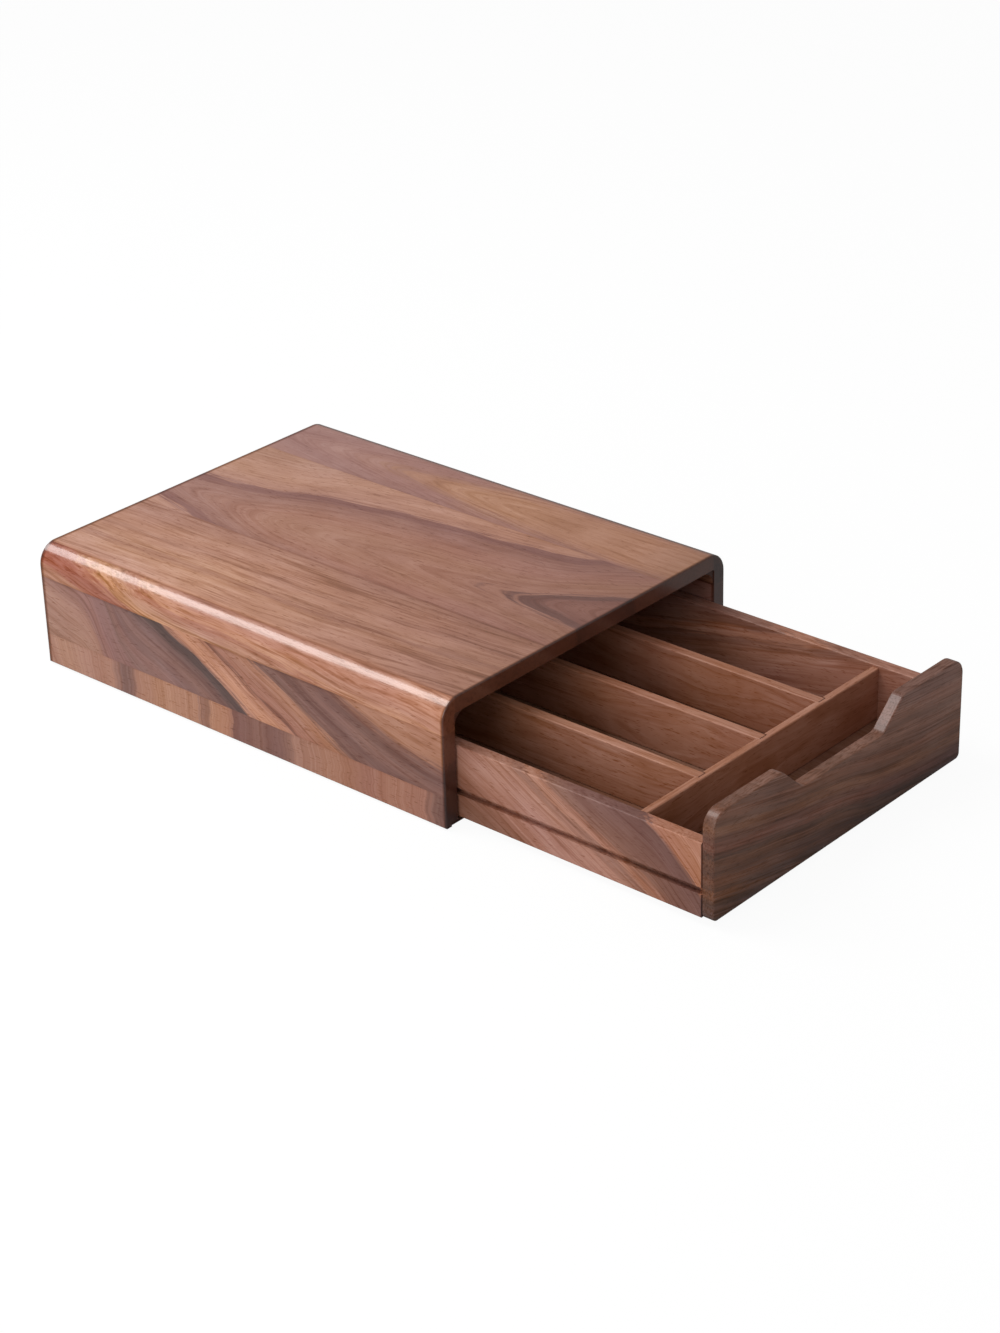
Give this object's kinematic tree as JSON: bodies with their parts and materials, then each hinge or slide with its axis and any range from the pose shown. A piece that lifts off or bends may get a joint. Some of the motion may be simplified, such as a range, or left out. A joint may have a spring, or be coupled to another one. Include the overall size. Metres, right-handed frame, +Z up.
{
  "type": "coffee pod drawer",
  "caption": "Wooden countertop drawer for coffee pods: a rounded tunnel casing with a pull-out drawer, pod lanes, a sachet bay and a finger notch.",
  "frame": {"origin": "on the surface that the casing stands on, under the middle of the casing's footprint", "axes": "+X across to the right, -Y out of the front with the drawer's pull, +Z up"},
  "size_m": [0.3, 0.606, 0.0955],
  "materials": {
    "patched_wood": "satin lacquer",
    "figured_wood": "satin lacquer",
    "light_wood": "satin lacquer",
    "top_wood": "satin lacquer",
    "dark_top_wood": "satin lacquer",
    "panel_wood": "satin lacquer",
    "runner_wood": "waxed",
    "dowel_wood": "bare",
    "front_wood": "satin lacquer",
    "side_wood": "satin lacquer",
    "zinc_steel": "zinc plated",
    "black_rubber": "matt"
  },
  "bodies": {
    "casing": {"left_lower_board": "patched_wood", "left_middle_board": "figured_wood", "left_upper_board": "light_wood", "right_lower_board": "patched_wood", "right_middle_board": "figured_wood", "right_upper_board": "light_wood", "top_left_board": "top_wood", "top_centre_board": "dark_top_wood", "top_right_board": "top_wood", "left_cove_strip": "dark_top_wood", "right_cove_strip": "dark_top_wood", "back_panel": "panel_wood", "base_panel": "panel_wood", "left_runner": "runner_wood", "right_runner": "runner_wood", "corner_dowels": "dowel_wood", "back_screws": "zinc_steel", "base_pins": "zinc_steel", "rubber_pads": "black_rubber"},
    "drawer": {"drawer_front": "front_wood", "drawer_left_side": "side_wood", "drawer_right_side": "side_wood", "drawer_back": "side_wood", "drawer_floor": "panel_wood", "left_divider": "side_wood", "middle_divider": "side_wood", "right_divider": "side_wood", "bay_partition": "side_wood", "front_dowels": "dowel_wood", "tail_dowels": "dowel_wood"}
  },
  "joints": [
    {"name": "drawer_slide", "type": "slide", "parent": "casing", "child": "drawer", "axis": [0, -1, 0], "range_m": [-0.212, 0.09]}
  ]
}
